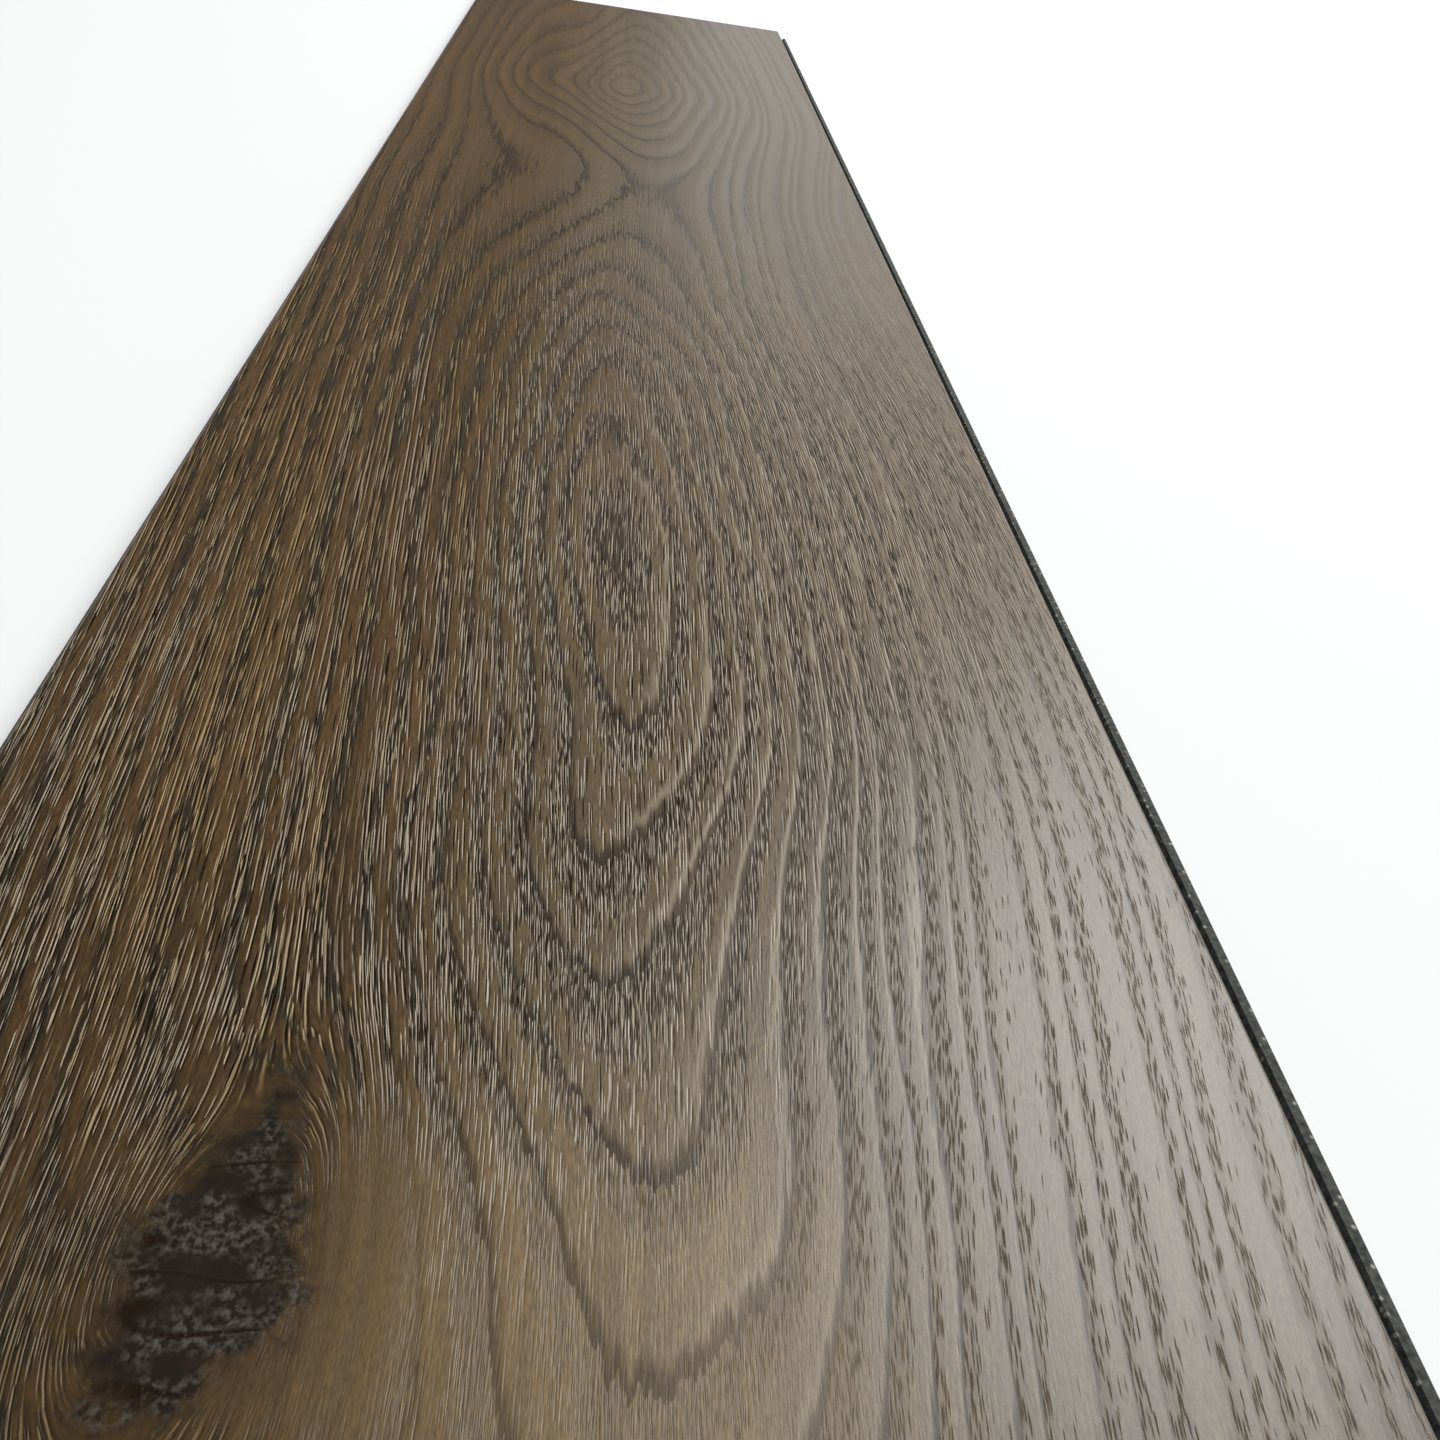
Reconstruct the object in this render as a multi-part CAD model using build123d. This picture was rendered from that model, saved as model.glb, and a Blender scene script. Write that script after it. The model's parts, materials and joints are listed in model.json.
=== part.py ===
from build123d import *
import os

# Laminate floorboard: one pressed fibreboard panel, faced and backed, then milled on all four edges
# into a glueless locking joint. The tongue edges face -X and -Y, the lipped groove edges +X and +Y.
# Origin: centre of the laid face, on the underside. +Y runs along the board, +Z up to the face.

# Driving dimensions, in millimetres. Heights are measured up from the underside.
# Laid size, from joint face to joint face
face_length = 1215.0
face_width = 195.0
board_thickness = 8.0

# Pressed bevel round the top of all four edges
bevel_width = 0.6
bevel_depth = 0.4

# Tongue
tongue_base = 3.1
tongue_thickness = 2.1
tongue_reach = 2.0
tongue_nose_radius = 0.8

# Lower lip of the groove: a land under the tongue, a channel, then the locking hook
lip_reach = 6.8
land_reach = 0.7
land_run = 0.4
channel_floor = 1.9
hook_width = 2.65
hook_height = 1.2
hook_run = 0.4
hook_toe = 0.6

# Clearances of the joint
play = 0.1
tooth_gap = 0.15
groove_end_gap = 0.4
lip_end_gap = 0.4

# Sizes that follow
tongue_top = tongue_base + tongue_thickness
groove_top = tongue_top + play
groove_floor = tongue_base - play
groove_depth = tongue_reach + groove_end_gap
hook_start = lip_reach - hook_width
hook_top = channel_floor + hook_height
tooth_bottom = channel_floor + tooth_gap
pocket_top = hook_top + tooth_gap
pocket_depth = lip_reach + lip_end_gap
bevel_foot = board_thickness - bevel_depth


def rounding(radius, *walls):
    """The radius, held under half of the shortest wall that it rounds."""
    return min(radius, *(0.45 * wall for wall in walls))


def lip_edge():
    """Groove edge from the face down to the underside: (reach past the joint face, height, radius)."""
    groove_round = rounding(tongue_nose_radius, groove_depth, groove_top - groove_floor)
    return [
        (-bevel_width, board_thickness, 0),
        (0, bevel_foot, 0),
        (0, groove_top, 0),
        (-groove_depth, groove_top, groove_round),
        (-groove_depth, groove_floor, groove_round),
        (land_reach, groove_floor, 0),
        (land_reach + land_run, channel_floor, 0),
        (hook_start, channel_floor, 0),
        (hook_start + hook_run, hook_top, 0),
        (lip_reach - hook_toe, hook_top, 0),
        (lip_reach, channel_floor, 0),
        (lip_reach, 0, 0),
    ]


def tongue_edge():
    """Tongue edge from the face down to the underside, shaped to seat in the next board's lip edge."""
    nose_round = rounding(tongue_nose_radius, tongue_reach, tongue_thickness)
    return [
        (-bevel_width, board_thickness, 0),
        (0, bevel_foot, 0),
        (0, tongue_top, 0),
        (tongue_reach, tongue_top, nose_round),
        (tongue_reach, tongue_base, nose_round),
        (-land_reach - play, tongue_base, 0),
        (-land_reach - land_run - play, tooth_bottom, 0),
        (play - hook_start, tooth_bottom, 0),
        (play - hook_start - hook_run, pocket_top, 0),
        (-pocket_depth, pocket_top, 0),
        (-pocket_depth, 0, 0),
    ]


def milled_section(plane, laid_size):
    """Board section between two opposite edges: lip edge on the plus side, tongue edge on the minus side."""
    half = laid_size / 2
    lip_side = [(half + reach, height, radius) for reach, height, radius in lip_edge()]
    tongue_side = [(-half - reach, height, radius) for reach, height, radius in tongue_edge()]
    outline = lip_side + tongue_side[::-1]
    points = [(across, height) for across, height, _ in outline]
    radii = [radius for _, _, radius in outline]
    with BuildSketch(plane) as section:
        with BuildLine():
            FilletPolyline(*points, radius=radii, close=True)
        make_face()
    return section.sketch


def corner_waste():
    """Where a lip runs into the relief under a tongue edge, it is cut away clear of that relief."""
    run = pocket_depth + tongue_reach
    end_lip = Box(run, lip_reach, board_thickness, align=(Align.MAX, Align.MIN, Align.MIN))
    side_lip = Box(lip_reach, run, board_thickness, align=(Align.MIN, Align.MAX, Align.MIN))
    end_corner = Pos(pocket_depth - face_width / 2, face_length / 2, 0)
    side_corner = Pos(face_width / 2, pocket_depth - face_length / 2, 0)
    return end_corner * end_lip + side_corner * side_lip


def floorboard():
    """The long edges are milled the whole length and the ends the whole width, so the two sections cross."""
    run_past = lip_reach + tongue_reach
    along = extrude(milled_section(Plane.XZ, face_width), face_length / 2 + run_past, both=True)
    across = extrude(milled_section(Plane.YZ, face_length), face_width / 2 + run_past, both=True)
    return (along & across) - corner_waste()


os.makedirs("parts", exist_ok=True)
export_step(floorboard(), "parts/floorboard.step")
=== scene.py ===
"""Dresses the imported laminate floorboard: pressed oak face, milled core, paper backing, plain stage."""
import json
import math
from functools import partial
from types import SimpleNamespace

import bmesh
import bpy
import numpy as np
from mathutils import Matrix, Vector

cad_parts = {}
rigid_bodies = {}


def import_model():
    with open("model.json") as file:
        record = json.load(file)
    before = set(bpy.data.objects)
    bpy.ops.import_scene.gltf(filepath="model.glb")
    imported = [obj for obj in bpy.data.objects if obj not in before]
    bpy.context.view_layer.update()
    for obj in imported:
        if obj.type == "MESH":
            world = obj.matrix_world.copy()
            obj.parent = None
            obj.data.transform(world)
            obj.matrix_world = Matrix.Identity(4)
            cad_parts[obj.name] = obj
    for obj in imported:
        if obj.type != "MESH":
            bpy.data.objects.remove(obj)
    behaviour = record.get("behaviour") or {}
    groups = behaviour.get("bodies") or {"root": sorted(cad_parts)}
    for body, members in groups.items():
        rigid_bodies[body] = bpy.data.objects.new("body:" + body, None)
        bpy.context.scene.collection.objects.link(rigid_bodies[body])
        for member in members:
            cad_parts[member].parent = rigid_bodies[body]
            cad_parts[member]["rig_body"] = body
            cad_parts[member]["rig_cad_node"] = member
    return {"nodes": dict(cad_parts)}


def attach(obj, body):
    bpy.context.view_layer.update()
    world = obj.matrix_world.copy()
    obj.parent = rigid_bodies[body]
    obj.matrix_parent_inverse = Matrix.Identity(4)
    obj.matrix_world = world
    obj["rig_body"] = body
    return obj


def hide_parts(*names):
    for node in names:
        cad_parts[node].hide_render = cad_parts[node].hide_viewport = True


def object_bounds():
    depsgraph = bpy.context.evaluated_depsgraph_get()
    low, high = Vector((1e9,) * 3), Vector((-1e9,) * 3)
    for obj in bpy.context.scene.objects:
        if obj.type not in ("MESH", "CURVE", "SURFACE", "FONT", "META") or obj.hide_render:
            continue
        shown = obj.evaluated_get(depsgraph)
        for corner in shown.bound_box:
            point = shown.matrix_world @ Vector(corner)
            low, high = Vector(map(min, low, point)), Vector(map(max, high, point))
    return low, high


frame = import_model()
CAD_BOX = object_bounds()

bl_info = {
    "name": "Laminate Floorboard",
    "version": (1, 0, 0),
    "blender": (4, 5, 0),
    "location": "View3D > Sidebar > Floorboard",
    "description": "Presses an oak figure into the packed floorboard and sets its stage",
    "category": "Object",
}

MM = 1000.0  # Millimetres in a metre

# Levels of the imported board, in metres, and the distance under which two places are the same
FACE_LEVEL = CAD_BOX[1][2]
BEVEL_DEPTH = 0.0004
BEVEL_FOOT = FACE_LEVEL - BEVEL_DEPTH
TOUCH = 1e-6

# The face is divided in two rounds, as one round takes no more than 100 cuts
FIRST_ROWS = 81
FIRST_COLUMNS = 13

# Relief of the mesh, in millimetres: sink of the open wood and of the knot, and the run to the knot's floor
RING_SINK = 0.004
KNOT_SINK = 0.12
KNOT_RUN = 8

# The oak figure, in millimetres on the face, with stations along the board. Heart line: station, growth rings
# counted outwards there, and how far the line lies aside. Two long ovals lie end to end.
HEART = (
    (-640, 11.0, -4), (-560, 9.8, -2), (-450, 7.6, 3), (-390, 6.0, 4), (-360, 5.0, 4), (-333, 4.0, 6),
    (-299, 3.0, 0), (-270, 2.0, -2), (-229, 1.0, 3), (-190, 0.4, 1), (-155, 0.1, -2), (-125, 0.5, -4),
    (-100, 1.0, -4), (-45, 2.0, -4), (-15, 3.0, -6), (12, 4.0, -7), (47, 5.0, -4), (88, 6.0, 1),
    (120, 6.6, 4), (150, 6.9, 7), (180, 6.7, 8), (215, 5.7, 7), (240, 4.9, 5), (285, 3.0, 0),
    (310, 1.8, -2), (345, 0.4, -3), (385, 1.2, -2), (460, 3.2, 1), (560, 5.2, 2), (640, 6.6, 0),
)
# Rings counted outwards from an oval's middle, by the distance to its left and to its right
LEFT_RINGS = (
    (0, 0), (4, 0.25), (9, 1), (20, 3), (43, 7), (52, 8.1), (62, 10), (75, 11.5), (88, 14.2), (115, 18),
)
RIGHT_RINGS = (
    (0, 0), (4, 0.12), (8, 0.42), (14, 1.05), (35, 4.9), (43, 6.5), (48, 8), (56, 9.2), (62, 11),
    (72, 12.3), (78, 14), (87, 15.3), (92, 17), (103, 18.6), (115, 21.6),
)
# The ring that no longer bends round the ovals, the rings that crowd round the large knot, and how far out
STRAIGHT_RING = 13
KNOT_RINGS = 2.2
KNOT_CROWDING = 9
# Part of a ring by which the print lags behind the relief
PRINT_LAG = 0.18
# Fibres spread to both sides round the ovals: station, how far they stand out on the left and on the right
SPREAD = (
    (-640, -20, -16), (-450, -19, -17), (-350, -17, -13), (-265, -10, -3), (-150, 0, 0), (0, 7, -6),
    (100, 11, -11), (150, 13, -11), (200, 14, -6), (300, 17, 6), (345, 18, 8), (480, 18, 6), (640, 18, 0),
)
# Slow waves of the fibres and of the rings: height, length across, length along, phase
FIBRE_WAVES = ((0.9, 900, 420, 0.4), (0.35, -320, 190, 2.1))
RING_WAVES = ((0.1, 130, 420, 0.3), (0.06, -70, 310, 1.7))
# Where the fibres part round a knot: centre across and along, half width, half length, lean
PARTINGS = ((-44.5, -343, 10.5, 24, 0.17), (-39.5, 243, 2.2, 9, 0), (-35, 392, 3.5, 9, 0))
# Smooth wood without pores: centre across and along, half width, half length
CALM = ((-27, -343, 8, 24), (-36, -358, 6, 4))
# Outline of the large knot
KNOT = (
    (-40, -315), (-43, -325), (-47, -331), (-51, -337), (-53, -342), (-52, -347), (-50, -352), (-54, -358),
    (-52, -361), (-42, -361), (-40, -355), (-34, -352), (-33, -346), (-35, -335), (-38, -325),
)
# A dark streak along one fibre: a point that the fibre passes, then its station, half width, half length
STREAK_POINT = (-41.0, -262.0)
STREAK = (-255, 1.6, 45)
# How crisp relief and print are, by station
CRISP = ((-640, 1.0), (-150, 1.0), (-60, 0.8), (20, 0.45), (100, 0.2), (200, 0.06), (640, 0.03))
# How far to the right the strokes go, by station, and the length over which they die out
REACH = (
    (-640, 92), (-480, 90), (-400, 45), (-340, 32), (-280, 58), (-200, 98), (-120, 146), (0, 150), (640, 140),
)
REACH_FADE = 65
# Strokes and pores are short up to one station, and twice as long from another on
SHORT_UNTIL = -300
LONG_FROM = -140

# Pressed strokes: cell across and along in millimetres, breadth, and the share of cells with a stroke, in
# late wood in the middle and to the left, then in open wood in the middle and to the left
STROKES = (
    (1.5, 24.0, 1.0, 0.10, 0.90, 0.25, 0.90),
    (0.95, 9.5, 1.0, 0.30, 0.50, 0.75, 0.90),
    (0.52, 5.5, 0.8, 0.45, 0.30, 1.30, 0.70),
)
# Section of a stroke of breadth 1: millimetres across it, and how far it is painted lit, painted in shadow
# and sunk there
STROKE_SECTION = ((-0.25, 0, 0, 0), (-0.12, 1, 0, 0.5), (-0.01, 0, 0.7, 1), (0.14, 0, 1, 0.9), (0.3, 0, 0, 0))

# Stage, in metres. The floor lies just under the board, so that the two don't meet in one plane.
FLOOR_SIZE = 60.0
FLOOR_LEVEL = -0.0002
# The floor glows for the camera alone, from the board outwards to the background: distances and strengths
GLOW_RANGE = (0.8, 3.6)
GLOW = (0.09, 1.0)
LAMP_AIM = (0, -0.3, 0)
LAMP_COLOUR = (0.99, 1.0, 1.0)
CAMERA_PLACE = (-0.01145, -0.44477, 0.15512)
CAMERA_DEGREES = (56.126, -8.284, -2.627)
SENSOR_WIDTH = 36.0

# Sockets of a colour mix, and the settings of a mix and of a range that eases in and out
SHARE, UNDER, OVER = 0, 6, 7
COLOUR_MIX = {"out": 2, "data_type": "RGBA"}
SOFT = {"interpolation_type": "SMOOTHSTEP"}


def linear(code):
    """An sRGB hex colour as linear red, green and blue."""
    parts = [int(code[i:i + 2], 16) / 255 for i in (1, 3, 5)]
    return tuple(c / 12.92 if c <= 0.04045 else ((c + 0.055) / 1.055) ** 2.4 for c in parts)


def node(tree, kind, inputs=(), out=0, **settings):
    """Adds a shader node with its settings, sets or links its inputs, and gives back one of its outputs."""
    made = tree.nodes.new("ShaderNode" + kind)
    for name, value in settings.items():
        setattr(made, name, value)
    for key, value in inputs.items() if isinstance(inputs, dict) else enumerate(inputs):
        if isinstance(value, bpy.types.NodeSocket):
            tree.links.new(value, made.inputs[key])
        else:
            made.inputs[key].default_value = value
    return made.outputs[out]


class FaceSettings(bpy.types.PropertyGroup):
    """Printed and pressed oak face"""

    late: bpy.props.FloatVectorProperty(
        name="Late wood", description="Dense smooth part of a growth ring",
        subtype="COLOR", default=linear("#685639"))
    umber: bpy.props.FloatVectorProperty(
        name="Umber", description="Late wood to the left", subtype="COLOR", default=linear("#6c5333"))
    early: bpy.props.FloatVectorProperty(
        name="Early wood", description="Open part of a growth ring",
        subtype="COLOR", default=linear("#473a27"))
    line: bpy.props.FloatVectorProperty(
        name="Ring line", description="Dark end of a growth ring", subtype="COLOR", default=linear("#2f261b"))
    # Dark of the pore floors, partly their print and partly painted shade, and of knot cracks; the same dark
    # is painted as shade on each stroke's shaded wall
    pore: bpy.props.FloatVectorProperty(
        name="Pore", description="Floor of a pressed pore", subtype="COLOR", default=linear("#1d1206"))
    # Painted sheen: neutral grey that the fine pores take where the strokes fade, mostly to the right, in
    # place of the lamps' reflection
    sheened_pore_grey: bpy.props.FloatVectorProperty(
        name="Ash", description="Fine pores of the smooth wood", subtype="COLOR", default=linear("#30312f"))
    # Painted highlight on lit fibres in the middle and on the lit lips of rings
    pale: bpy.props.FloatVectorProperty(
        name="Pale", description="Lit fibres in the middle", subtype="COLOR", default=linear("#ddcfb6"))
    # Painted highlight on lit fibres to the left, in the oval and round the knot
    gold: bpy.props.FloatVectorProperty(
        name="Gold", description="Lit fibres to the left", subtype="COLOR", default=linear("#cbaa74"))
    halo: bpy.props.FloatVectorProperty(
        name="Halo", description="Warm wood round a knot", subtype="COLOR", default=linear("#3c2d18"))
    knot: bpy.props.FloatVectorProperty(
        name="Knot", description="Dark heart of a knot", subtype="COLOR", default=linear("#221b14"))
    # Grey of the knot's scales, partly painted glint on them
    scale: bpy.props.FloatVectorProperty(
        name="Knot scale", description="Paler scales in a knot", subtype="COLOR", default=linear("#57534a"))
    pore_depth: bpy.props.FloatProperty(
        name="Pore depth", description="From the face to a pore's floor", default=0.00016, unit="LENGTH")
    rows: bpy.props.IntProperty(
        name="Rows", description="Facets along the face", default=405, min=FIRST_ROWS)
    columns: bpy.props.IntProperty(
        name="Columns", description="Facets across the face", default=130, min=FIRST_COLUMNS)
    roughness: bpy.props.FloatProperty(
        name="Roughness", description="Satin of the wear layer", default=0.33, subtype="FACTOR")


class EdgeSettings(bpy.types.PropertyGroup):
    """Milled core and paper backing"""

    core: bpy.props.FloatVectorProperty(
        name="Core", description="Grey fibreboard", subtype="COLOR", default=linear("#454641"))
    crumb: bpy.props.FloatVectorProperty(
        name="Crumb", description="Pale chips left by milling", subtype="COLOR", default=linear("#aaa9a0"))
    backing: bpy.props.FloatVectorProperty(
        name="Backing", description="Balancing paper", subtype="COLOR", default=linear("#8f8676"))


class StageSettings(bpy.types.PropertyGroup):
    """Floor, lamps and camera"""

    floor: bpy.props.FloatVectorProperty(
        name="Floor", description="Plain pale floor", subtype="COLOR", default=linear("#f7f7f7"))
    window: bpy.props.FloatProperty(
        name="Window", description="Soft lamp at the right", default=60.0, unit="POWER")
    low: bpy.props.FloatProperty(
        name="Low", description="Broad lamp low at the far right", default=7.5, unit="POWER")
    fill: bpy.props.FloatProperty(
        name="Fill", description="Soft lamp overhead", default=50.0, unit="POWER")
    sky: bpy.props.FloatProperty(
        name="Sky", description="Even light from all round", default=0.15)
    lens: bpy.props.FloatProperty(
        name="Lens", description="Focal length", default=36.0, unit="CAMERA")


def through(stations, values, at):
    """A smooth curve through the values at their stations."""
    stations, values = np.asarray(stations, float), np.asarray(values, float)
    slopes = np.gradient(values, stations)
    i = np.clip(np.searchsorted(stations, at) - 1, 0, len(stations) - 2)
    run = stations[i + 1] - stations[i]
    t = np.clip((at - stations[i]) / run, 0, 1)
    return (values[i] * (1 + 2 * t) * (1 - t) ** 2 + values[i + 1] * t * t * (3 - 2 * t)
            + run * t * (1 - t) * (slopes[i] * (1 - t) - slopes[i + 1] * t))


def rise(at, low, high):
    """Goes smoothly from 0 at one value to 1 at another."""
    t = np.clip((at - low) / (high - low), 0, 1)
    return t * t * (3 - 2 * t)


def patch(x, y, across, along, half_width, half_length):
    """A soft round patch: 1 in its middle, fading outwards."""
    return np.exp(-((x - across) / half_width) ** 2 - ((y - along) / half_length) ** 2)


def ripple(x, y, waves):
    """Slow waves over the face: (height, length across, length along, phase), in millimetres."""
    return sum(height * np.sin(2 * math.pi * (x / across + y / along) + phase)
               for height, across, along, phase in waves)


def outside(outline, x, y):
    """Distance from each point to a closed outline, negative inside it."""
    away, inside = np.full_like(x, 1e9), np.zeros(x.shape, bool)
    for (ax, ay), (bx, by) in zip(outline, outline[1:] + outline[:1]):
        t = np.clip(((x - ax) * (bx - ax) + (y - ay) * (by - ay)) / ((bx - ax) ** 2 + (by - ay) ** 2), 0, 1)
        away = np.minimum(away, np.hypot(x - ax - t * (bx - ax), y - ay - t * (by - ay)))
        crossing = (ay > y) != (by > y)
        inside ^= crossing & (x < ax + (bx - ax) * (y - ay) / (by - ay if by != ay else 1e-9))
    return np.where(inside, -away, away)


def figure(x, y):
    """Growth rings and fibre position at points of the face, in millimetres."""
    # Fibres spread round the ovals, wave slowly and part round the knots
    station, left, right = zip(*SPREAD)
    fibre = x + rise(-x, -10, 40) * through(station, left, y) - rise(x, 5, 40) * through(station, right, y)
    fibre += ripple(x, y, FIBRE_WAVES)
    for cx, cy, half_width, half_length, lean in PARTINGS:
        dx, dy = x - cx - lean * (y - cy), y - cy
        fibre -= dx / ((dx / half_width) ** 2 + (dy / half_length) ** 2 + 0.15)

    # Rings close round the heart line, run with the fibres further out, and crowd round the large knot
    station, count, aside = zip(*HEART)
    side = x - through(station, aside, y) * np.exp(-(x / 50) ** 2) + rise(np.abs(x), 20, 60) * (fibre - x)
    across = np.where(side < 0, through(*zip(*LEFT_RINGS), -side), through(*zip(*RIGHT_RINGS), side))
    growth = across + through(station, count, y) * np.maximum(1 - across / STRAIGHT_RING, 0) ** 1.5
    growth += ripple(x, y, RING_WAVES)
    growth += KNOT_RINGS * np.exp(-np.maximum(outside(KNOT, x, y), 0) / KNOT_CROWDING)
    return growth, fibre


def face_masks(x, y):
    """Slow changes over the face, by the names that the oak material reads, at points in millimetres."""
    growth, fibre = figure(x, y)
    knot = outside(KNOT, x, y)
    # The left, the oval, the strong ring lines right of it, the belt level with the knot and its smooth wood
    left = rise(-x, 8, 45)
    oval = patch(x, y, 0, -20, 40, 110)
    lined = patch(x, y, 56, -90, 24, 110)
    belt = rise(-y, 300, 350) * (1 - rise(-y, 380, 480))
    calm = belt * (1 - left) * (1 - rise(x, 25, 50))
    porous = np.ones_like(x)
    for cx, cy, half_width, half_length in CALM:
        porous *= 1 - np.exp(-(((x - cx) / half_width) ** 2 + ((y - cy) / half_length) ** 2) ** 2)
    # Relief softens towards the far end, later at the left
    crisp = through(*zip(*CRISP), y - 80 * rise(-x, 30, 75))
    reach = through(*zip(*REACH), y)
    spread = figure(x + 0.5, y)[1] - figure(x - 0.5, y)[1]
    streak_fibre = figure(*(np.array([at]) for at in STREAK_POINT))[1]
    dark_streak = patch(fibre, y, streak_fibre, *STREAK)
    return {
        # Rings, how fast they follow each other along the board, and the ones whose edge faces the window,
        # which get a painted highlight
        "growth": growth - PRINT_LAG,
        "slope": figure(x, y + 1.0)[0] - growth,
        "facing": (rise(figure(x + 1.0, y)[0] - growth, 0.0, 0.12) * crisp * porous
                   * (1 - rise(x, 46, 66) * (1 - lined))
                   * (1 - 0.8 * rise(-y, 270, 330) * rise(x, 10, 32)) * rise(knot, 4, 14)),
        "knot": knot,
        "left": left,
        # Wood and the painted highlights on lit fibres are warmer, and the strokes' painted shade is deeper,
        # at the left and partly in the oval
        "warm": np.maximum(left, 0.6 * patch(x, y, 2, -70, 34, 120)),
        "crisp": crisp * porous * (1 - 0.6 * calm) * (1 - 0.4 * rise(x, 66, 92) * rise(-y, 200, 300)),
        # Strength of the strokes: none where fibres crowd, weak along the streak and level with the knot
        "grain": (np.clip((reach - x) / REACH_FADE, 0, 1) * porous * crisp * rise(spread, 0.15, 0.7)
                  * (1 - 0.7 * dark_streak) * (1 - belt * (0.75 - 0.3 * left))),
        # Share of pores in late wood, then more or fewer strokes there, and narrower strokes further along
        "hair": 0.06 + 0.2 * patch(x, y, 60, -90, 30, 150),
        "scatter": (1 - 0.55 * rise(x, 8, 26) * rise(-y, 210, 270)
                    + 0.15 * rise(x, 15, 45) * rise(y, -270, -200)),
        "narrow": 1 - 0.45 * left * rise(y, -240, -80),
        # Strength of the ring lines and of the dark open bands
        "drawn": (0.85 - 0.5 * left * (1 - rise(y, -80, 80)) - 0.55 * rise(x, 38, 78) * (1 - 0.5 * lined)
                  - 0.3 * rise(y, 100, 300) - 0.3 * calm) * porous,
        "banded": ((1 - 0.85 * rise(x, 25, 65) * (1 - 0.6 * lined)) * (1 - 0.6 * rise(y, -50, 200))
                   * (0.5 + 0.5 * left) * (1 - 0.5 * calm) * porous),
        # Gloss of the wear layer, and lightness of the print, which also carries painted sheen: lighter at
        # the near middle, right of the oval and towards the far end, darker to the right so the lamps' sheen
        # there reads grey
        "sheen": 0.42 - 0.2 * left - 0.16 * oval,
        "tone": (1 - left * (0.28 + 0.2 * rise(-y, 240, 290) - 0.16 * rise(y, -50, 200))
                 - 0.24 * rise(x, 10, 60) + 0.1 * rise(y, 50, 320)
                 + 0.31 * rise(x, 15, 50) * rise(y, -260, -150) * (1 - rise(y, 0, 250))
                 - 0.06 * oval - 0.12 * dark_streak
                 + 0.5 * rise(-y, 290, 345) * (1 - rise(-y, 370, 500)) * (1 - left) * (1 - rise(x, 20, 60))),
    }


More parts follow.
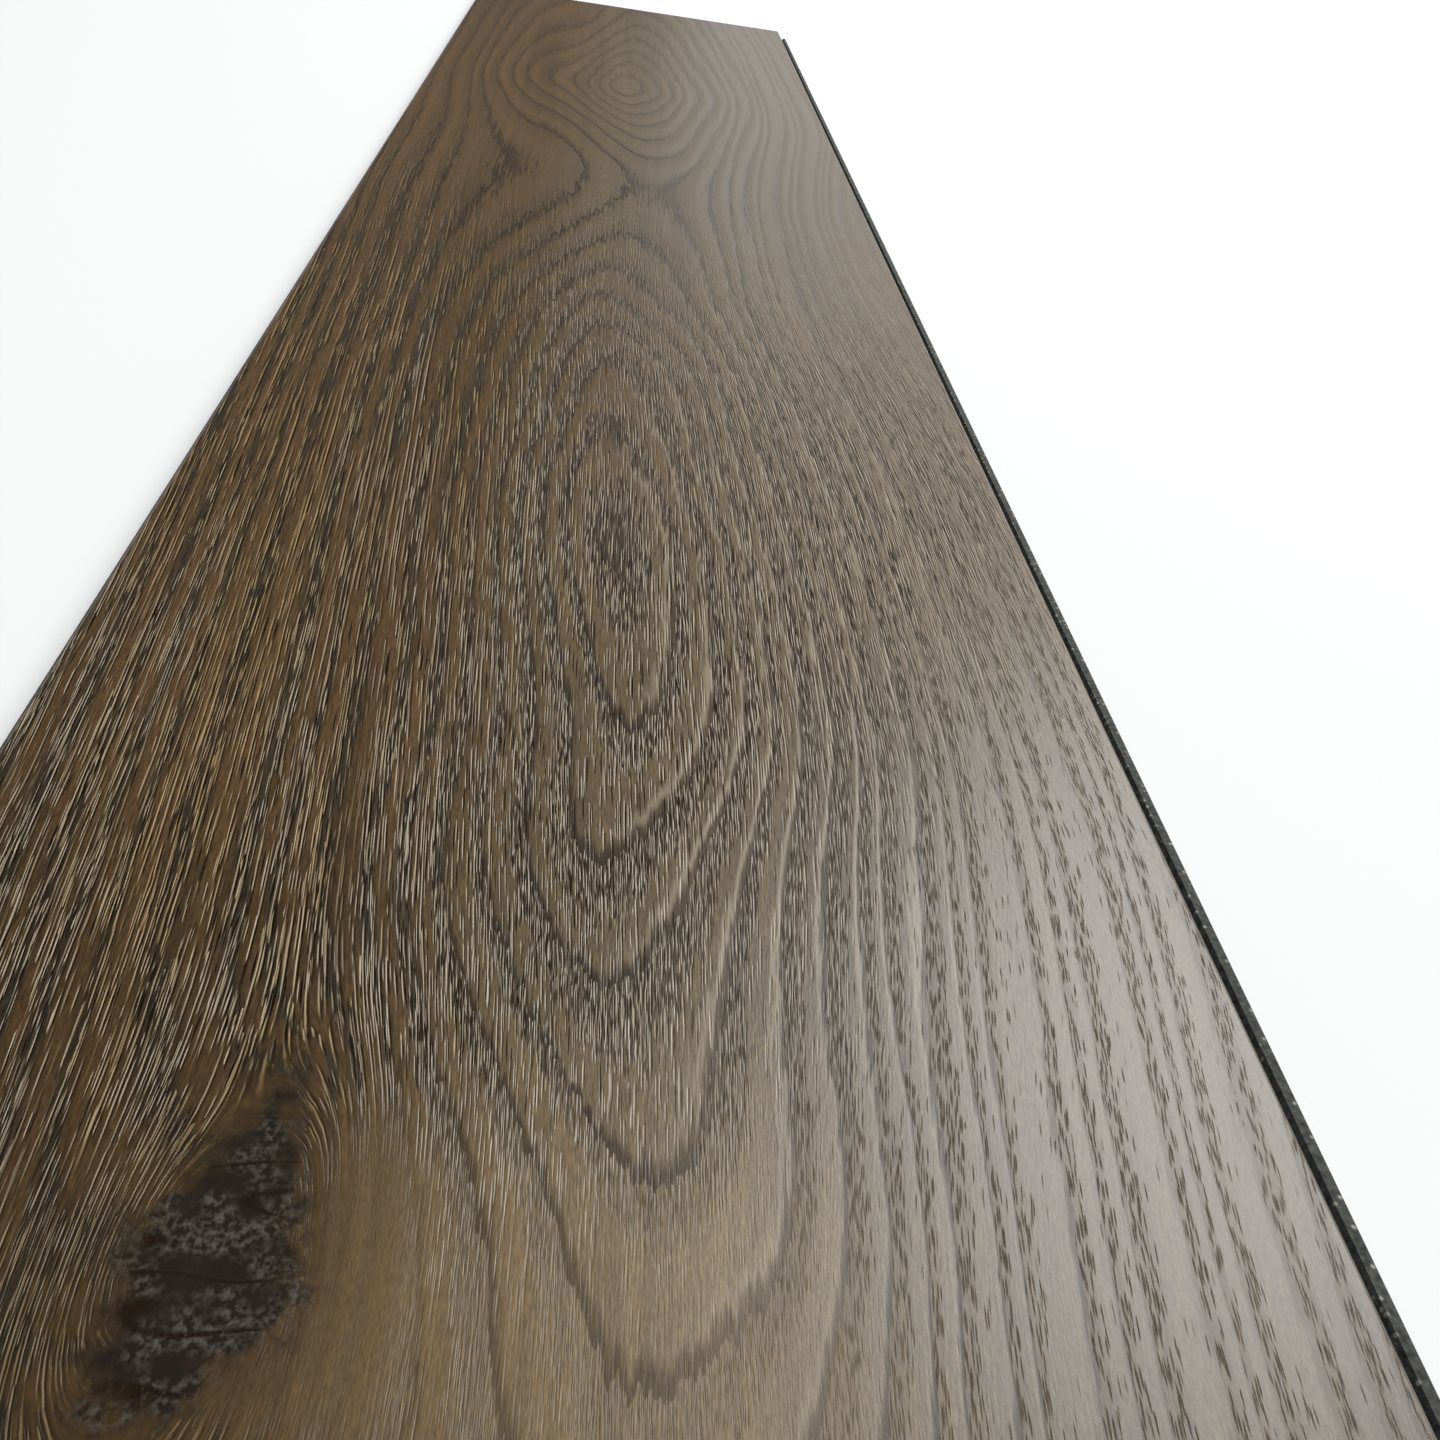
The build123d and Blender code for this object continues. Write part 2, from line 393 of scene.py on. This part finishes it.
class FLOORBOARD_OT_panel(bpy.types.Operator):
    """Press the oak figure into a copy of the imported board, and finish its face, core and backing"""

    bl_idname = "floorboard.panel"
    bl_label = "Floorboard Panel"

    def execute(self, context):
        face = context.scene.floorboard_face
        bpy.ops.object.select_all(action="DESELECT")
        cad = frame["nodes"]["floorboard"]
        cad.select_set(True)
        context.view_layer.objects.active = cad
        bpy.ops.object.duplicate()
        panel = context.object
        panel.name = panel.data.name = "floorboard_panel"
        panel.parent = None
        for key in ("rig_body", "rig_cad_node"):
            del panel[key]

        bpy.ops.object.mode_set(mode="EDIT")
        bpy.ops.mesh.select_all(action="SELECT")
        bpy.ops.mesh.customdata_custom_splitnormals_clear()
        bpy.ops.mesh.remove_doubles(threshold=TOUCH)
        bpy.ops.mesh.dissolve_limited(angle_limit=math.radians(0.2))
        bpy.ops.mesh.select_mode(type="EDGE")
        for axis, first, total in ((1, FIRST_ROWS, face.rows), (0, FIRST_COLUMNS, face.columns)):
            for count in (first, total // first):
                self.pick_face_edges(panel, axis)
                bpy.ops.mesh.subdivide(number_cuts=count - 1)
        bpy.ops.object.mode_set(mode="OBJECT")
        if len(panel.data.polygons) < face.rows * face.columns:
            raise RuntimeError("the face was not divided as asked")

        self.press(panel.data)
        self.assign(panel.data, context.scene)
        bpy.ops.object.shade_smooth_by_angle(angle=math.radians(20))
        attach(panel, "root")
        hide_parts("floorboard")
        return {"FINISHED"}

    def pick_face_edges(self, panel, axis):
        """Selects the edges of the face and its bevel that run along one axis."""
        mesh = bmesh.from_edit_mesh(panel.data)
        bpy.ops.mesh.select_all(action="DESELECT")
        for edge in mesh.edges:
            a, b = (v.co for v in edge.verts)
            level = min(a.z, b.z) > BEVEL_FOOT - TOUCH and abs(a.z - b.z) < TOUCH
            edge.select_set(level and abs(a[1 - axis] - b[1 - axis]) < TOUCH)
        bmesh.update_edit_mesh(panel.data)

    def press(self, mesh):
        """Sinks the open wood and the knot a little into the face, and stores the figure on the mesh."""
        co = np.empty(len(mesh.vertices) * 3, np.float32)
        mesh.vertices.foreach_get("co", co)
        co = co.reshape(-1, 3)
        x, y = co[:, 0] * MM, co[:, 1] * MM
        growth, fibre = figure(x, y)
        open_wood = 0.5 + 0.5 * np.cos(2 * math.pi * growth)
        pressed = RING_SINK * open_wood + KNOT_SINK * np.clip(-outside(KNOT, x, y) / KNOT_RUN, 0, 1)
        inside = co[:, 2] > FACE_LEVEL - TOUCH
        co[inside, 2] -= (pressed[inside] / MM).astype(np.float32)
        mesh.vertices.foreach_set("co", co.ravel())

        for name, values in face_masks(x, y).items():
            mesh.attributes.new(name, "FLOAT", "POINT").data.foreach_set("value", values.astype(np.float32))
        # The measure along the fibres slows down to half, so the same pattern is drawn longer there
        slowing = LONG_FROM - SHORT_UNTIL
        past = np.clip(y - SHORT_UNTIL, 0, slowing)
        along = (np.minimum(y, SHORT_UNTIL) + past - past * past / (4 * slowing)
                 + 0.5 * np.maximum(y - LONG_FROM, 0))
        place = np.stack([fibre / MM, along / MM, np.zeros_like(y)], axis=1).astype(np.float32)
        mesh.attributes.new("fibre", "FLOAT_VECTOR", "POINT").data.foreach_set("vector", place.ravel())
        mesh.update()

    def assign(self, mesh, scene):
        """Gives the face, the milled edges and the underside their materials."""
        mesh.materials.clear()
        mesh.materials.append(pressed_oak(scene.floorboard_face))
        mesh.materials.append(milled_core(scene.floorboard_edge))
        mesh.materials.append(backing_paper(scene.floorboard_edge))
        for polygon in mesh.polygons:
            if polygon.center.z > BEVEL_FOOT - TOUCH and polygon.normal.z > 0.3:
                polygon.material_index = 0
            elif polygon.center.z < TOUCH and polygon.normal.z < -0.9:
                polygon.material_index = 2
            else:
                polygon.material_index = 1


def pressed_oak(face):
    """Melamine over an oak print, pressed in register with it: clear satin, finely grooved with the grain."""
    material = bpy.data.materials.new("pressed_oak_melamine")
    material.use_nodes = True
    tree = material.node_tree
    shader = tree.nodes["Principled BSDF"]
    add = partial(node, tree)
    ink = SimpleNamespace(**{name: (*getattr(face, name), 1) for name in (
        "late", "umber", "early", "line", "pore", "sheened_pore_grey", "pale", "gold", "halo", "knot", "scale")})
    mask = SimpleNamespace(**{name: add("Attribute", out="Fac", attribute_name=name) for name in (
        "growth", "slope", "facing", "knot", "left", "warm", "crisp", "grain", "scatter", "narrow", "hair",
        "drawn", "banded", "sheen", "tone")})

    # Fibres wander by 1.3 mm in all, over 5 mm across and 45 mm along, so nothing along the grain is ruled
    fibre = add("Attribute", out="Vector", attribute_name="fibre")
    wander = add("VectorMath", (fibre, (MM / 5.0, MM / 45.0, 0)), operation="MULTIPLY")
    wander = add("TexNoise", {"Vector": wander, "Scale": 1.0, "Detail": 2.0}, noise_dimensions="2D")
    wander = add("Math", (wander, 1.3 / MM, -0.65 / MM), operation="MULTIPLY_ADD")
    place = add("VectorMath", (fibre, add("CombineXYZ", (wander,))), operation="ADD")

    # Uneven patterns: millimetres across and along, detail, and what they are laid out on
    spot = add("TexCoord", out="Object")
    uneven = SimpleNamespace()
    for name, across, along, detail, start in (
            ("fray", 0.8, 10.0, 1.0, place), ("blur", 1.6, 30.0, 2.0, place),
            ("streak", 3.0, 150.0, 2.0, place), ("fine", 0.4, 4.0, 2.0, place),
            ("mottle", 0.35, 1.5, 1.0, place), ("cloud", 28.0, 260.0, 2.0, fibre),
            ("ragged", 3.0, 4.0, 3.0, spot), ("cleft", 34.0, 9.0, 1.0, spot),
            ("speck", 1.0, 1.1, 1.5, spot), ("crust", 7.0, 6.0, 1.0, spot), ("peel", 0.35, 0.5, 1.0, spot)):
        field = add("VectorMath", (start, (MM / across, MM / along, 0)), operation="MULTIPLY")
        noise = {"Vector": field, "Scale": 1.0, "Detail": detail, "Roughness": 0.55}
        setattr(uneven, name, add("TexNoise", noise, noise_dimensions="2D"))

    knot = knot_wood(add, mask, uneven)
    ring = ring_wood(add, mask, uneven)
    stroke = pressed_strokes(add, place, mask, ring, knot)
    pores = open_pores(add, place, mask, ring, knot)
    tree.links.new(oak_print(add, ink, mask, uneven, knot, ring, stroke, pores), shader.inputs["Base Color"])

    # Open wood and the knot are duller, and what lies deep has hardly any gloss
    dull = add("Math", (knot.heart, 0.1, face.roughness), operation="MULTIPLY_ADD")
    dull = add("Math", (ring.early, 0.05, dull), operation="MULTIPLY_ADD")
    tree.links.new(dull, shader.inputs["Roughness"])
    deep = add("MapRange", (mask.grain, 0.0, 1.0, 0.15, 1.0))
    deep = add("Math", (add("MapRange", (pores, 0.0, 0.6)), deep), operation="MULTIPLY")
    for part in (stroke.shaded, add("Math", (knot.heart, 0.7), operation="MULTIPLY"),
                 add("Math", (ring.inked, 0.7), operation="MULTIPLY")):
        deep = add("Math", (deep, part), operation="MAXIMUM")
    tree.links.new(add("MapRange", (deep, 0.0, 1.0, mask.sheen, 0.05)), shader.inputs["Specular IOR Level"])

    # Heights of the relief, as parts of the pore depth
    relief = add("Math", (uneven.fine, 0.12), operation="MULTIPLY")
    scaly = add("Math", (knot.heart, knot.scales), operation="MULTIPLY")
    for height, part in ((0.06, uneven.peel), (-0.6, stroke.sunk), (-0.4, pores), (-0.04, ring.line),
                         (-1.0, knot.crack), (0.7, scaly)):
        relief = add("Math", (part, height, relief), operation="MULTIPLY_ADD")
    bump = add("Bump", {"Height": relief, "Strength": 1.0, "Distance": face.pore_depth})
    tree.links.new(bump, shader.inputs["Normal"])
    shader.inputs["IOR"].default_value = 1.6
    return material


def knot_wood(add, mask, uneven):
    """The large knot: millimetres from its ragged rim, dark heart, cracks, scales, clear wood round it."""
    rim = add("Math", (mask.knot, 4.5), operation="SUBTRACT")
    rim = add("Math", (uneven.ragged, 9.0, rim), operation="MULTIPLY_ADD")
    heart = add("MapRange", (rim, -2.5, 2.5, 1.0, 0.0), **SOFT)
    crack = add("Math", (uneven.cleft, 0.5), operation="SUBTRACT")
    crack = add("Math", (crack,), operation="ABSOLUTE")
    crack = add("MapRange", (crack, 0.005, 0.035, 1.0, 0.0), **SOFT)
    crack = add("Math", (crack, heart), operation="MULTIPLY")
    scales = add("MapRange", (uneven.speck, 0.40, 0.72))
    scales = add("Math", (scales, add("MapRange", (uneven.crust, 0.38, 0.60))), operation="MULTIPLY")
    clear = add("MapRange", (rim, -0.5, 3.0), **SOFT)
    return SimpleNamespace(rim=rim, heart=heart, crack=crack, scales=scales, clear=clear)


def ring_wood(add, mask, uneven):
    """Growth rings: each starts open and ends dense and dark, along a line that the fibres fray."""
    steep = add("Math", (mask.slope, 0.03), operation="ADD")
    frayed = add("Math", (uneven.fray, 14.0, -7.0), operation="MULTIPLY_ADD")
    frayed = add("Math", (frayed, steep, mask.growth), operation="MULTIPLY_ADD")
    frayed = add("Math", (uneven.blur, 0.25, frayed), operation="MULTIPLY_ADD")
    across = add("Math", (frayed,), operation="FRACT")
    year = add("TexWhiteNoise", {"W": add("Math", (frayed,), operation="FLOOR")}, noise_dimensions="1D")

    open_until = add("Math", (year, 0.3, 0.40), operation="MULTIPLY_ADD")
    early = add("MapRange", (across, 0.16, open_until, 1.0, 0.0), **SOFT)
    darkest = add("MapRange", (mask.drawn, 0.3, 0.8, 1.0, 0.80))
    dense = add("MapRange", (across, 0.45, 0.95, 1.0, darkest))
    line_from = add("MapRange", (mask.crisp, 0.0, 1.0, 0.72, 0.86))
    line = add("MapRange", (across, line_from, 0.96), **SOFT)
    # A ring whose edge faces the window has a painted highlight: a weaker line, and a painted pale lip just
    # before it
    inked = add("Math", (line, mask.drawn), operation="MULTIPLY")
    inked = add("Math", (inked, add("MapRange", (mask.facing, 0.0, 1.0, 1.0, 0.55))), operation="MULTIPLY")
    painted_lit_lip = add("MapRange", (across, 0.84, 0.90, 1.0, 0.0))
    painted_lit_lip = add("Math", (add("MapRange", (across, 0.70, 0.80)), painted_lit_lip), operation="MULTIPLY")
    painted_lit_lip = add("Math", (painted_lit_lip, mask.facing), operation="MULTIPLY")
    return SimpleNamespace(year=year, early=early, dense=dense, line=line, inked=inked, painted_lit_lip=painted_lit_lip)


def pressed_strokes(add, place, mask, ring, knot):
    """Strokes, each a spindle with a painted lit wall and a painted shaded wall: long to the left, short
    where a ring opens.
    """
    lit, shaded, sunk = 0.0, 0.0, 0.0
    for across, along, breadth, late, late_left, opened, opened_left in STROKES:
        field = add("VectorMath", (place, (MM / across, MM / along, 0)), operation="MULTIPLY")
        cell = add("TexVoronoi", {"Vector": field, "Scale": 1.0}, voronoi_dimensions="2D").node.outputs
        chance, strength, _ = add("SeparateColor", (cell["Color"],)).node.outputs
        offset = add("VectorMath", (field, cell["Position"]), operation="SUBTRACT")
        beside, ahead, _ = add("SeparateXYZ", (offset,)).node.outputs
        section = add("ValToRGB", (add("Math", (beside, mask.narrow, 0.5), operation="MULTIPLY_ADD"),))
        stops = section.node.color_ramp.elements
        stops[-1].color = (0, 0, 0, 1)
        for step, *tones in STROKE_SECTION:
            stops.new(0.5 + step * breadth / across).color = (*tones, 1)
        walls = add("SeparateColor", (section,)).node.outputs

        strewn = add("MapRange", (mask.left, 0.0, 1.0, late, late_left))
        strewn = add("Math", (strewn, mask.scatter), operation="MULTIPLY")
        crowded = add("MapRange", (mask.left, 0.0, 1.0, opened, opened_left))
        share = add("MapRange", (ring.early, 0.0, 1.0, strewn, crowded))
        share = add("Math", (share, mask.narrow), operation="MULTIPLY")
        there = add("MapRange", (add("Math", (share, chance), operation="SUBTRACT"), 0.0, 0.15))
        taper = add("Math", (ahead,), operation="ABSOLUTE")
        taper = add("MapRange", (taper, 0.2, 0.6, 1.0, 0.0), **SOFT)
        strength = add("MapRange", (strength, 0.0, 1.0, 0.55, 1.1))
        for part in (taper, strength, mask.grain, knot.clear):
            there = add("Math", (there, part), operation="MULTIPLY")
        lit, shaded, sunk = (
            add("Math", (before, add("Math", (wall, there), operation="MULTIPLY")), operation="MAXIMUM")
            for before, wall in zip((lit, shaded, sunk), walls))
    return SimpleNamespace(lit=lit, shaded=shaded, sunk=sunk)


def open_pores(add, place, mask, ring, knot):
    """Pores: hair lines crowded where a ring opens, and sparse long ones."""
    sparse = add("MapRange", (mask.grain, 0.0, 1.0, 0.02, 0.44))
    crowd = add("MapRange", (ring.year, 0.0, 1.0, 0.95, 1.35))
    crowd = add("MapRange", (mask.left, 0.0, 1.0, crowd, 0.30))
    pores = 0.0
    # Cell in millimetres across and along, part of it that a pore fills, and the share of cells with a pore
    # in late wood and in open wood
    for across, along, core, few, many in (
            (0.3, 5.0, 0.37, mask.hair, crowd), (0.9, 22.0, 0.16, sparse, sparse)):
        field = add("VectorMath", (place, (MM / across, MM / along, 0)), operation="MULTIPLY")
        cell = add("TexVoronoi", {"Vector": field, "Scale": 1.0}, voronoi_dimensions="2D")
        chance = add("SeparateColor", (cell.node.outputs["Color"],))
        share = add("MapRange", (ring.early, 0.0, 1.0, few, many))
        share = add("Math", (share, knot.clear), operation="MULTIPLY")
        there = add("MapRange", (add("Math", (share, chance), operation="SUBTRACT"), 0.0, 0.10))
        groove = add("Math", (add("MapRange", (cell, 0.08, core, 1.0, 0.0)), there), operation="MULTIPLY")
        pores = add("Math", (pores, groove), operation="MAXIMUM")
    return add("Math", (pores, mask.crisp), operation="MULTIPLY")


def oak_print(add, ink, mask, uneven, knot, ring, stroke, pores):
    """Colour of the face: clouded wood, then painted lit lips, grooves with painted lit and shaded walls,
    ring lines, pore floors and the knot over it.
    """
    # Clouds, streaks, mottle, the rings' darkening and the print tone, which carries painted sheen, scale the
    # wood's colour
    fine_low = add("MapRange", (mask.crisp, 0.0, 1.0, 0.95, 0.70))
    fine_high = add("MapRange", (mask.crisp, 0.0, 1.0, 1.05, 1.28))
    shade = add("MapRange", (uneven.streak, 0.3, 0.7, 0.88, 1.12))
    for part in (add("MapRange", (uneven.fine, 0.25, 0.75, fine_low, fine_high)),
                 add("MapRange", (uneven.cloud, 0.3, 0.7, 0.92, 1.08)),
                 add("MapRange", (uneven.mottle, 0.3, 0.7, 0.80, 1.20)), ring.dense, mask.tone):
        shade = add("Math", (shade, part), operation="MULTIPLY")
    open_wood = add("Math", (ring.early, mask.banded), operation="MULTIPLY")
    wood = add("Mix", {SHARE: mask.warm, UNDER: ink.late, OVER: ink.umber}, **COLOUR_MIX)
    wood = add("Mix", {SHARE: open_wood, UNDER: wood, OVER: ink.early}, **COLOUR_MIX)
    wood = add("VectorMath", {0: wood, "Scale": shade}, operation="SCALE")

    # Painted highlights on lit fibres are gold in clouds, and all round the knot
    glint = add("MapRange", (mask.knot, 6.0, 26.0, 1.0, 0.0))
    glint = add("Math", (add("MapRange", (uneven.cloud, 0.44, 0.60, 0.3, 1.0)), glint), operation="MAXIMUM")
    glint = add("Math", (glint, mask.warm), operation="MULTIPLY")
    lit_ink = add("Mix", {SHARE: glint, UNDER: ink.pale, OVER: ink.gold}, **COLOUR_MIX)
    # Pores are dark with painted shade where strokes are strong, and painted sheen grey where they fade
    pore_and_sheen_ink = add("Mix", {SHARE: mask.grain, UNDER: ink.sheened_pore_grey, OVER: ink.pore}, **COLOUR_MIX)
    # The knot's scales are paler grey, partly painted glint
    knot_ink = add("Mix", {SHARE: knot.scales, UNDER: ink.knot, OVER: ink.scale}, **COLOUR_MIX)
    knot_ink = add("Mix", {SHARE: knot.crack, UNDER: knot_ink, OVER: ink.pore}, **COLOUR_MIX)

    # Each layer's pattern, its strength and its colour: lit lips and lit stroke walls are painted highlight,
    # shaded stroke walls painted shade
    pore_strength = add("MapRange", (mask.grain, 0.0, 1.0, 0.28, 1.0))
    for pattern, strength, colour in (
            (ring.painted_lit_lip, 0.27, ink.pale),
            (stroke.shaded, add("MapRange", (mask.warm, 0.0, 0.6, 0.78, 0.95)), ink.pore),
            (stroke.lit, add("MapRange", (mask.left, 0.0, 1.0, 0.88, 0.78)), lit_ink),
            (ring.inked, 1.0, ink.line),
            (add("MapRange", (pores, 0.0, 0.5)), pore_strength, pore_and_sheen_ink),
            (add("MapRange", (knot.rim, -1.0, 7.0, 1.0, 0.0)), 0.6, ink.halo),
            (knot.heart, 0.95, knot_ink)):
        share = add("Math", (pattern, strength), operation="MULTIPLY")
        wood = add("Mix", {SHARE: share, UNDER: wood, OVER: colour}, **COLOUR_MIX)
    return wood


def milled_core(edge):
    """Dyed high-density fibreboard, milled: matt, felted, with pale crumbs left by the cutters."""
    material = bpy.data.materials.new("milled_fibreboard")
    material.use_nodes = True
    tree = material.node_tree
    shader = tree.nodes["Principled BSDF"]
    add = partial(node, tree)
    place = add("TexCoord", out="Object")
    # Felted fibres, drawn as coarse as 1.1 mm so that they show, and crumbs in a fifth of cells of 1.2 mm
    felt = add("TexNoise", {"Vector": place, "Scale": MM / 1.1, "Detail": 4.0})
    near = add("TexVoronoi", {"Vector": place, "Scale": MM / 1.2})
    chance = add("SeparateColor", (near.node.outputs["Color"],))
    few = add("Math", (chance, 0.22), operation="LESS_THAN")
    crumb = add("Math", (few, add("MapRange", (near, 0.1, 0.4, 1.0, 0.0))), operation="MULTIPLY")
    felted = add("MapRange", (felt, 0.3, 0.7, 0.35, 1.75))
    grey = add("VectorMath", {0: tuple(edge.core), "Scale": felted}, operation="SCALE")
    grey = add("Mix", {SHARE: crumb, UNDER: grey, OVER: (*edge.crumb, 1)}, **COLOUR_MIX)
    tree.links.new(grey, shader.inputs["Base Color"])
    bump = add("Bump", {"Height": felt, "Strength": 0.6, "Distance": 0.08 / MM})
    tree.links.new(bump, shader.inputs["Normal"])
    shader.inputs["Roughness"].default_value = 0.85
    return material


def backing_paper(edge):
    """Kraft balancing paper under a thin resin: flat, faintly clouded, half matt."""
    material = bpy.data.materials.new("kraft_balancing_paper")
    material.use_nodes = True
    tree = material.node_tree
    shader = tree.nodes["Principled BSDF"]
    add = partial(node, tree)
    # Clouds of 12 mm
    cloud = add("TexNoise", {"Vector": add("TexCoord", out="Object"), "Scale": MM / 12.0, "Detail": 5.0})
    clouded = add("MapRange", (cloud, 0.3, 0.7, 0.9, 1.08))
    paper = add("VectorMath", {0: tuple(edge.backing), "Scale": clouded}, operation="SCALE")
    tree.links.new(paper, shader.inputs["Base Color"])
    shader.inputs["Roughness"].default_value = 0.6
    return material


class FLOORBOARD_OT_stage(bpy.types.Operator):
    """Lay the floor, hang the lamps and set the camera"""

    bl_idname = "floorboard.stage"
    bl_label = "Stage"

    def execute(self, context):
        stage = context.scene.floorboard_stage
        bpy.ops.object.select_all(action="DESELECT")
        self.lay_floor(context, stage)
        self.hang_lamps(context, stage)
        self.set_camera(context, stage)
        context.scene.view_settings.view_transform = "Standard"
        return {"FINISHED"}

    def lay_floor(self, context, stage):
        """Lays a pale matt floor that the camera sees brighten outwards into a white background."""
        bpy.ops.mesh.primitive_plane_add(size=FLOOR_SIZE, location=(0, 0, FLOOR_LEVEL))
        floor = context.object
        floor.name = "floor"
        bpy.ops.object.transform_apply(location=True)
        pale = bpy.data.materials.new("pale_floor")
        pale.use_nodes = True
        shader = pale.node_tree.nodes["Principled BSDF"]
        shader.inputs["Base Color"].default_value = (*stage.floor, 1)
        shader.inputs["Emission Color"].default_value = (1, 1, 1, 1)
        shader.inputs["Roughness"].default_value = 1.0
        shader.inputs["Specular IOR Level"].default_value = 0.0
        add = partial(node, pale.node_tree)
        away = add("VectorMath", (add("TexCoord", out="Object"),), out="Value", operation="LENGTH")
        glow = add("MapRange", (away, *GLOW_RANGE, *GLOW), **SOFT)
        glow = add("Math", (glow, add("LightPath", out="Is Camera Ray")), operation="MULTIPLY")
        pale.node_tree.links.new(glow, shader.inputs["Emission Strength"])
        floor.data.materials.append(pale)

    def hang_lamps(self, context, stage):
        """Hangs three soft lamps that face the board, in an even light that the camera sees as white."""
        for name, place, size, power in (
                ("window_lamp", (1.34, 1.40, 2.05), (1.5, 1.5), stage.window),
                ("low_lamp", (1.15, 3.4, 0.85), (2.1, 1.1), stage.low),
                ("fill_lamp", (-0.4, -1.9, 2.7), (3.0, 3.0), stage.fill)):
            bpy.ops.object.light_add(type="AREA", location=place)
            lamp = context.object
            lamp.name = name
            lamp.data.shape = "RECTANGLE"
            lamp.data.size, lamp.data.size_y = size
            lamp.data.energy = power
            lamp.data.color = LAMP_COLOUR
            lamp.rotation_euler = (lamp.location - Vector(LAMP_AIM)).to_track_quat("Z", "Y").to_euler()

        world = bpy.data.worlds.new("even_light")
        world.use_nodes = True
        sky = world.node_tree.nodes["Background"]
        sky.inputs["Color"].default_value = (1, 1, 1, 1)
        add = partial(node, world.node_tree)
        even = add("MapRange", (add("LightPath", out="Is Camera Ray"), 0.0, 1.0, stage.sky, 1.0))
        world.node_tree.links.new(even, sky.inputs["Strength"])
        context.scene.world = world

    def set_camera(self, context, stage):
        """Sets the camera low over the near end, looking down along the board."""
        turn = [math.radians(angle) for angle in CAMERA_DEGREES]
        bpy.ops.object.camera_add(location=CAMERA_PLACE, rotation=turn)
        camera = context.object
        camera.name = "camera"
        camera.data.sensor_width = SENSOR_WIDTH
        camera.data.lens = stage.lens
        camera.data.clip_start = 0.01
        context.scene.camera = camera


class FLOORBOARD_PT_sidebar(bpy.types.Panel):
    """Lists the floorboard's steps and settings"""

    bl_idname = "FLOORBOARD_PT_sidebar"
    bl_label = "Floorboard"
    bl_space_type = "VIEW_3D"
    bl_region_type = "UI"
    bl_category = "Floorboard"

    def draw(self, context):
        for step, names in ((FLOORBOARD_OT_panel, ("floorboard_face", "floorboard_edge")),
                            (FLOORBOARD_OT_stage, ("floorboard_stage",))):
            box = self.layout.box()
            box.operator(step.bl_idname)
            for name in names:
                group = getattr(context.scene, name)
                for key in group.__annotations__:
                    box.prop(group, key)


SETTINGS = {
    "floorboard_face": FaceSettings, "floorboard_edge": EdgeSettings, "floorboard_stage": StageSettings,
}
CLASSES = (*SETTINGS.values(), FLOORBOARD_OT_panel, FLOORBOARD_OT_stage, FLOORBOARD_PT_sidebar)


def register():
    for cls in CLASSES:
        bpy.utils.register_class(cls)
    for name, cls in SETTINGS.items():
        setattr(bpy.types.Scene, name, bpy.props.PointerProperty(type=cls))


def unregister():
    for name in SETTINGS:
        delattr(bpy.types.Scene, name)
    for cls in reversed(CLASSES):
        bpy.utils.unregister_class(cls)


def main():
    register()
    bpy.ops.floorboard.panel()
    bpy.ops.floorboard.stage()


if __name__ == "__main__":
    main()
